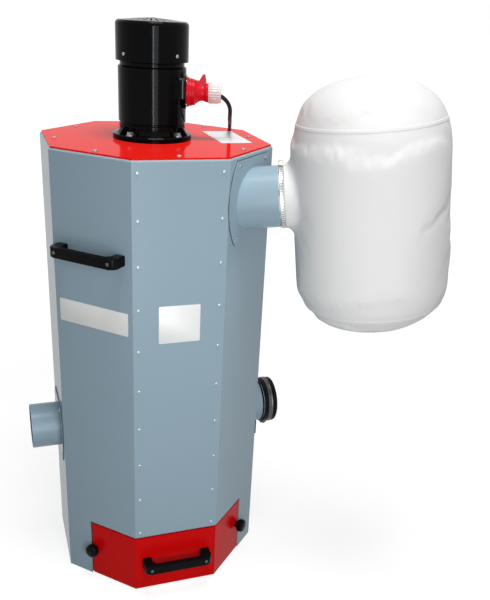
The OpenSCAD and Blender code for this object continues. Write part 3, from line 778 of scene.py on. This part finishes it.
def around(axis, angle, radius, height):
    """Matrix at an angle round an upright axis, with Z pointing away from it."""
    return (Matrix.Translation(axis) @ Matrix.Rotation(math.radians(angle), 4, "Z")
            @ Matrix.Translation((radius, 0, height)) @ QUARTER_Y)


def worm_clamp(name, place, radius, width, material, replaced, size=1.0):
    """A clamp round the Z axis of a matrix, the housing of its screw on the +Y side and drawn at a size."""
    strap, roll, edge = 0.9 * MM, 1.3 * MM, 1.5 * MM
    hoop = lathe(name, [
        (radius, 0), (radius + strap, 0), (radius + roll, edge / 2), (radius + strap, edge),
        (radius + strap, width - edge), (radius + roll, width - edge / 2),
        (radius + strap, width), (radius, width),
    ], 96, place)
    deck, waist, crown = radius + 0.5 * MM, 4 * size * MM, 8.5 * size * MM
    arch = [(-10 * MM, deck), (10 * MM, deck), (10 * MM, deck + waist), (7 * MM, deck + crown),
            (-7 * MM, deck + crown), (-10 * MM, deck + waist)]
    housing_place = place @ Matrix.Translation((0, 0, width * (1 - size) / 2))
    housing = prism(name, arch, width * size, housing_place, 0.8 * MM)
    screw_axis = (place @ Matrix.Translation((13 * MM, deck + 4.4 * size * MM, width / 2))
                  @ Matrix.Rotation(-math.pi / 2, 4, "Y"))
    thick, wide = 3.6 * size * MM, 4.6 * size * MM
    shank = lathe(name, [(0, 0), (0.9 * thick, 0), (thick, MM), (thick, 24 * MM), (0, 24 * MM)], 20, screw_axis)
    head = lathe(name, [(0, 23 * MM), (wide, 23 * MM), (wide, 28 * MM), (0.85 * wide, 29 * MM), (0, 29 * MM)],
                 6, screw_axis)
    add_piece(name, joined(name, [hoop, housing, shank, head]), material, "cabinet", "clamp_steel",
              replaced, 30)
    # The punched slots are not cut: thin black marks on the band's face are painted shade for the dark of each
    # hole.
    shade_mark_places = []
    for k in range(round(2 * math.pi / SLOT_SPACING)):
        angle = k * SLOT_SPACING
        if abs(angle - math.pi / 2) > HOUSING_SPREAD:
            shade_mark_places.append(place @ Matrix.Rotation(angle, 4, "Z")
                         @ Matrix.Translation((radius + strap, 0, width / 2))
                         @ QUARTER_Y)
    shade_mark = prism("thread_slot", rounded_box(6 * MM, 1.4 * MM, 0.5 * MM, 2), 0.08 * MM,
                 Matrix.Translation((0, 0, -0.02 * MM)))
    add_fixings(name + "_thread", shade_mark, shade_mark_places, handle_black, "cabinet", "handle_plastic", smooth=0)


PIPE_GAP = 0.3 * MM
OUTLET_RADIUS = 76 * MM
SLEEVE_START = 69 * MM
CLOTH = 2 * MM
CLAMP_WIDTH = 12 * MM
clamp_radius = OUTLET_RADIUS + PIPE_GAP + CLOTH + 0.2 * MM
worm_clamp("sleeve_clamp", outlet_place @ Matrix.Translation((0, 0, SLEEVE_START + 5 * MM)),
           clamp_radius, CLAMP_WIDTH, clamp_steel, ("bag_clamp",))

CAP_RADIUS = 68.5 * MM
CAP_BAND = 62 * MM
CAP_SCREW = 1.5
paint_node("inlet_cap", cap_rubber)
paint_node("cap_tie", handle_black)
cap_place = (face_place(2, 0, INLET_HEIGHT) @ Matrix.Rotation(math.pi, 4, "Z")
             @ Matrix.Translation((0, 0, CAP_BAND)))
worm_clamp("cap_clamp", cap_place, CAP_RADIUS, CLAMP_WIDTH, screw_dark, ("cap_buckle",), CAP_SCREW)

# ---------------------------------------------------------------------------
# Filter bag: white woven polyester sewn from a body, a sleeve and two ends, blown tight by the fan and
# clamped on the outlet. The cloth is inflated, then its seams and stitches are laid on it.
BAG_RADIUS = 198 * MM
BAG_HEIGHT = 612 * MM
BAG_TOP = 190 * MM
BAG_FOOT = 120 * MM
BAG_DISTANCE = 299 * MM
BAG_DROP = 35 * MM
BAG_POWER = 2.7
BAG_SLACK = 3 * MM
BAG_CLOTH = 1.2 * MM
BAG_VOXEL = 9.5 * MM
BAG_STRAY = 5 * MM
BAG_SWELL = 4.0
CLOTH_FRAMES = 20
bag_place = (outlet_place @ Matrix.Translation((0, -BAG_DROP, BAG_DISTANCE))
             @ Matrix.Rotation(-math.pi / 2, 4, "X"))
sleeve_end = BAG_DISTANCE - SLEEVE_START
sleeve_radius = OUTLET_RADIUS + PIPE_GAP + CLOTH


def weave_group():
    """Plain weave over a UV map in metres: a bump of two crossing waves, broken by a little noise."""
    group, given, result = make_group(
        "plain_weave",
        [("Threads", "NodeSocketFloat", 1100.0), ("Depth", "NodeSocketFloat", 0.0002),
         ("Strength", "NodeSocketFloat", 0.5)],
        [("Normal", "NodeSocketVector")],
    )
    place = add_node(group, "UVMap", {"uv_map": "cloth"}).outputs["UV"]
    scaled = add_node(group, "VectorMath", {"operation": "SCALE"}, Vector=place, Scale=given["Threads"])
    parts = add_node(group, "SeparateXYZ", Vector=scaled.outputs["Vector"]).outputs
    waves = [math_node(group, "SINE", math_node(group, "MULTIPLY", parts[axis], math.pi)) for axis in "XY"]
    noise = add_node(group, "TexNoise", Vector=place, Scale=160.0, Detail=3.0).outputs["Fac"]
    height = math_node(group, "MULTIPLY_ADD", math_node(group, "MULTIPLY", *waves), 0.35, noise)
    bump = add_node(group, "Bump", Height=height, Strength=given["Strength"], Distance=given["Depth"])
    feed(group, result["Normal"], bump.outputs["Normal"])
    return group


bag_cloth = finish("bag_cloth", (0.86, 0.86, 0.855), 0.8, drift=0.008, drift_scale=6.0, Sheen_Weight=0.08)
tree = bag_cloth.node_tree
weave = add_node(tree, "Group", {"node_tree": weave_group()})
feed(tree, tree.nodes["Principled BSDF"].inputs["Normal"], weave.outputs["Normal"])


def bag_outline(inset):
    """Radius and height of the inflated bag from its tip to its foot, set in from its full size."""
    power = 2 / BAG_POWER
    radius = BAG_RADIUS - inset
    tip = BAG_HEIGHT / 2 - inset
    out = []
    for sign, rounding in ((1, BAG_TOP - inset), (-1, BAG_FOOT - inset)):
        quarter = [(radius * max(math.cos(a), 0) ** power,
                    sign * (tip - rounding + rounding * math.sin(a) ** power))
                   for a in (math.pi / 2 * (1 - i / 16) for i in range(17))]
        out += quarter if sign > 0 else reversed(quarter)
    return [(0 if r < 1e-5 else r, h) for r, h in out]


def remeshed(mesh, voxel):
    """An object with the one closed skin of a mesh, in even quads."""
    skin = bpy.data.objects.new("skin", mesh)
    scene.collection.objects.link(skin)
    grid = skin.modifiers.new("grid", "REMESH")
    grid.mode = "VOXEL"
    grid.voxel_size = voxel
    baked(skin)
    return skin


SEAM_TOP = 205 * MM
SEAM_FOOT = -246 * MM
SEAM_SIDE = math.radians(-90)
SEAM_PUCKER = 14 * MM
SLEEVE_ROOT = 60 * MM
PIN_START = sleeve_end - 45 * MM
PIN_END = sleeve_end - 25 * MM
solid = joined("bag", [
    lathe("bag_body", bag_outline(BAG_SLACK), 96),
    lathe("bag_sleeve", [(0, SLEEVE_ROOT), (sleeve_radius, SLEEVE_ROOT), (sleeve_radius, sleeve_end),
                         (0, sleeve_end)], 96,
          Matrix.Translation((0, 0, BAG_DROP)) @ Matrix.Rotation(-math.pi / 2, 4, "X")),
])
bag = remeshed(solid, BAG_VOXEL)
bag.name = "inflated_bag"

# The sleeve's end is opened, and everything within the clamp's reach is pinned.
shape = bmesh.new()
shape.from_mesh(bag.data)
mouth = [face for face in shape.faces
         if face.calc_center_median().y > sleeve_end - 0.6 * BAG_VOXEL and abs(face.normal.y) > 0.7]
bmesh.ops.delete(shape, geom=mouth, context="FACES")
shape.to_mesh(bag.data)
shape.free()


def seam_weight(point):
    """How near a point of the bag lies to one of its seams, from 0 to 1."""
    across = math.atan2(point.y, point.x)
    near = min(abs(point.z - SEAM_TOP), abs(point.z - SEAM_FOOT), abs(across - SEAM_SIDE) * BAG_RADIUS)
    return max(0.0, 1 - near / SEAM_PUCKER)


rest = [vertex.co.copy() for vertex in bag.data.vertices]
held = bag.vertex_groups.new(name="held")
sewn = bag.vertex_groups.new(name="sewn")
for vertex in bag.data.vertices:
    held.add([vertex.index], eased(vertex.co.y, PIN_START, PIN_END), "REPLACE")
    sewn.add([vertex.index], seam_weight(vertex.co), "REPLACE")
cloth = bag.modifiers.new("cloth", "CLOTH")
for label, value in (
    ("quality", 6), ("mass", 0.25), ("tension_stiffness", 25), ("compression_stiffness", 25),
    ("bending_stiffness", 0.4), ("use_pressure", True), ("uniform_pressure_force", BAG_SWELL),
    ("vertex_group_mass", "held"), ("vertex_group_shrink", "sewn"),
    ("shrink_min", -0.01), ("shrink_max", 0.10),
):
    setattr(cloth.settings, label, value)
cloth.settings.effector_weights.gravity = 0
cloth.collision_settings.use_collision = False
cloth.collision_settings.use_self_collision = False
for number in range(1, CLOTH_FRAMES + 1):
    scene.frame_set(number)
baked(bag)
scene.frame_set(1)
for vertex, start in zip(bag.data.vertices, rest):
    moved = vertex.co - start
    if moved.length > BAG_STRAY:
        vertex.co = start + moved * (BAG_STRAY / moved.length)
bag.vertex_groups.clear()

bag.data.transform(bag_place)
finer = bag.modifiers.new("finer", "SUBSURF")
finer.levels = finer.render_levels = 1
baked(bag)
skin_tree = BVHTree.FromPolygons([v.co.copy() for v in bag.data.vertices],
                                 [tuple(f.vertices) for f in bag.data.polygons])
thick = bag.modifiers.new("thick", "SOLIDIFY")
thick.thickness = BAG_CLOTH
thick.offset = -1
baked(bag)
flat_map = bag.data.uv_layers.new(name="cloth")
to_bag = bag_place.inverted()
for face in bag.data.polygons:
    middle = to_bag @ face.center
    for corner in face.loop_indices:
        point = to_bag @ bag.data.vertices[bag.data.loops[corner].vertex_index].co
        angle = math.atan2(-point.x, point.y)
        if abs(angle - math.atan2(-middle.x, middle.y)) > math.pi:
            angle = math.copysign(math.pi, math.atan2(-middle.x, middle.y))
        flat_map.data[corner].uv = (angle * BAG_RADIUS, point.z)
bag.data.materials.clear()
bag.data.materials.append(bag_cloth)
bag.data.shade_smooth()
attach(bag, "cabinet")
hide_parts("filter_bag")


def on_skin(direction_point, start_point):
    """Where a line inside the bag meets its cloth, and which way the cloth faces there."""
    origin = bag_place @ start_point
    ahead = (bag_place @ direction_point - origin).normalized()
    hit, normal, _, _ = skin_tree.ray_cast(origin, ahead)
    return hit, normal if normal.dot(ahead) > 0 else -normal


def seam_points(kind, level, count):
    """Points and normals along a seam: round the bag at a level, or up its side at an angle."""
    out = []
    for k in range(count):
        if kind == "ring":
            height, angle = level, 2 * math.pi * k / count
        else:
            height, angle = SEAM_FOOT + (SEAM_TOP - SEAM_FOOT) * k / (count - 1), level
        start = Vector((0, 0, height))
        out.append(on_skin(start + Vector((math.cos(angle), math.sin(angle), 0)), start))
    return out


SEAM_SECTION = ((-0.5, -0.4), (-0.42, 0.7), (-0.25, 1.0), (0.25, 1.0), (0.42, 0.7), (0.5, -0.4))


def ribbon(name, spots, width, height, closed):
    """Low flat-topped strip laid along points with normals: the folded edges of a sewn seam."""
    shape = bmesh.new()
    loops = []
    last = len(spots) - 1
    for k, (point, normal) in enumerate(spots):
        before = spots[k - 1 if closed or k else 0][0]
        after = spots[(k + 1) % len(spots) if closed else min(k + 1, last)][0]
        along = (after - before).normalized()
        across = along.cross(normal).normalized()
        loops.append([shape.verts.new(point + across * (x * width) + normal * (y * height))
                      for x, y in SEAM_SECTION])
    pairs = list(zip(loops, loops[1:])) + ([(loops[-1], loops[0])] if closed else [])
    for one, two in pairs:
        bridge(shape, one, two)
    if not closed:
        shape.faces.new(loops[0])
        shape.faces.new(list(reversed(loops[-1])))
    return closed_mesh(name, shape)


SEAM_WIDTH = 9 * MM
SEAM_HEIGHT = 1.1 * MM
STITCH_LENGTH = 4.2 * MM
STITCH_RADIUS = 0.35 * MM
STITCH_ROWS = (-0.22, 0.22)
seams = [("ring", SEAM_TOP, 150), ("ring", SEAM_FOOT, 150), ("side", SEAM_SIDE, 90)]
strips, stitches = [], []
for kind, level, count in seams:
    spots = seam_points(kind, level, count)
    strips.append(ribbon("seam", spots, SEAM_WIDTH, SEAM_HEIGHT, kind == "ring"))
    for k, (point, normal) in enumerate(spots[:-1]):
        along = (spots[k + 1][0] - point).normalized()
        across = normal.cross(along).normalized()
        for side in STITCH_ROWS:
            top = point + across * (side * SEAM_WIDTH) + normal * SEAM_HEIGHT
            turn = Matrix((along, across, along.cross(across))).transposed()
            stitches.append(Matrix.Translation(top) @ turn.to_4x4())
seam_strip = add_piece("bag_seams", joined("bag_seams", strips), bag_cloth, "cabinet", "bag_cloth")
flat_map = seam_strip.data.uv_layers.new(name="cloth")
for corner, loop in zip(flat_map.data, seam_strip.data.loops):
    point = seam_strip.data.vertices[loop.vertex_index].co
    corner.uv = (point.x + point.y, point.z)
thread_white = finish("thread_white", (0.84, 0.84, 0.82), 0.6, drift=0.02, grain=(3000.0, 0.05, 0.4))
stitch_profile = [(0, -STITCH_LENGTH / 2), (STITCH_RADIUS, -0.4 * STITCH_LENGTH),
                  (STITCH_RADIUS, 0.4 * STITCH_LENGTH), (0, STITCH_LENGTH / 2)]
stitch = lathe("stitch", stitch_profile, 6, QUARTER_Y)
add_fixings("bag_stitches", stitch, stitches, thread_white, "cabinet", "bag_cloth")

# ---------------------------------------------------------------------------
# Flange motor in gloss black enamel: cast shields, a rolled frame and a pressed cowl, bolted through
# its flange to the lid, with screws round the cowl, in the frame and on the terminal box.
motor_paint = finish("motor_paint", (0.0024, 0.0024, 0.0027), 0.09, grain=(500.0, 0.05, 0.06), worn=0.04,
                     Specular_IOR_Level=0.05)
for part in ("motor_shield", "motor_frame", "motor_end_shield", "fan_cowl"):
    paint_node(part, motor_paint)
motor_axis = Vector((MOTOR_X, 0, 0))
BOLT_PITCH = 82.5 * MM
BOLT_SEAT = LID_TOP + 12 * MM
BOLT_START = 37
BOLT_SPIN = 23
bolt_places = [Matrix.Translation(motor_axis) @ Matrix.Rotation(math.radians(BOLT_START + 90 * k), 4, "Z")
               @ Matrix.Translation((BOLT_PITCH, 0, BOLT_SEAT)) for k in range(4)]
add_fixings("flange_bolts", hex_bolt(9.2 * MM, 9 * MM, 11 * MM), bolt_places, screw_zinc,
            "cabinet", "clamp_steel", BOLT_SPIN)

FRAME_RADIUS = 85 * MM
FRAME_SCREW_ANGLE = -123
FRAME_SCREW_HEIGHTS = (1314 * MM, 1362 * MM)
COWL_RADIUS = 90 * MM
COWL_SCREW_START = -151
COWL_SCREW_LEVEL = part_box("fan_cowl")[0].z + 16 * MM
cowl_places = [around(motor_axis, COWL_SCREW_START + 90 * k, COWL_RADIUS, COWL_SCREW_LEVEL) for k in range(4)]
add_screws("cowl_screws", 4.2, 2.4, cowl_places)
frame_places = [around(motor_axis, FRAME_SCREW_ANGLE, FRAME_RADIUS, height) for height in FRAME_SCREW_HEIGHTS]
add_screws("frame_screws", 4.0, 2.0, frame_places, handle_black, slot_name="handle_plastic")

BOX_FACE = 84 * MM
BOX_DEPTH = 28 * MM
BOX_RISE = 11 * MM
BOX_LID = 3 * MM
BOX_SCREW_X = 31 * MM
BOX_SCREW_Y = 28 * MM


def box_place(out, rise):
    """Matrix that sets XY onto the terminal box's face, X level and Y up, with Z pointing outwards."""
    return (Matrix.Translation((MOTOR_X, 0, SUPPLY_HEIGHT)) @ Matrix.Rotation(SUPPLY_ANGLE, 4, "Z")
            @ Matrix.Translation((out, 0, rise)) @ Matrix.Rotation(math.pi / 2, 4, "Z")
            @ QUARTER_X)


def chamfered(width, height, cut):
    """Outline of a rectangle about the origin with its corners cut off."""
    x, y = width / 2, height / 2
    return [(x, cut - y), (x, y - cut), (x - cut, y), (cut - x, y),
            (-x, y - cut), (-x, cut - y), (cut - x, -y), (x - cut, -y)]


for name, replaced, outline, depth, place, ease in (
    ("terminal_housing", "terminal_box", chamfered(116 * MM, 52 * MM, 4 * MM), BOX_DEPTH,
     box_place(BOX_FACE - BOX_DEPTH, BOX_RISE), 1.8 * MM),
    ("terminal_cover", "terminal_lid", chamfered(78 * MM, 76 * MM, 10 * MM), BOX_LID,
     box_place(BOX_FACE, 0), 1.0 * MM),
):
    add_piece(name, prism(name, outline, depth, place, ease, 3), motor_paint, "cabinet", "motor_paint",
              (replaced,), 40)
terminal_places = [box_place(BOX_FACE + BOX_LID, 0) @ Matrix.Translation((x * BOX_SCREW_X, y * BOX_SCREW_Y, 0))
                   for x in (-1, 1) for y in (-1, 1)]
add_screws("terminal_screws", 3.2, 1.8, terminal_places)

# Supply connection: red appliance inlet and coupling in moulded polyamide, with a ribbed white gland nut.
for part in ("appliance_inlet", "supply_coupling"):
    paint_node(part, plug_red)
GLAND_START = 141 * MM
GLAND_END = 173 * MM
gland_white = finish("gland_white", (0.74, 0.72, 0.70), 0.35, drift=0.02, grain=(1600.0, 0.05, 0.3))
gland_turn = (Matrix.Translation((MOTOR_X, 0, SUPPLY_HEIGHT)) @ Matrix.Rotation(SUPPLY_ANGLE, 4, "Z")
              @ QUARTER_Y)
gland_profile = [
    (0, GLAND_START), (24 * MM, GLAND_START), (25.5 * MM, GLAND_START + 2 * MM),
    (25.5 * MM, GLAND_END - 8 * MM), (24 * MM, GLAND_END - 6 * MM), (23.5 * MM, GLAND_END),
    (20 * MM, GLAND_END), (8 * MM, GLAND_SEAT), (0, GLAND_SEAT),
]
add_piece("gland_nut", lathe("gland_nut", gland_profile, 144, gland_turn, ribs=24, rib_depth=1.8 * MM),
          gland_white, "cabinet", "gland_plastic", ("cable_gland",), 50)
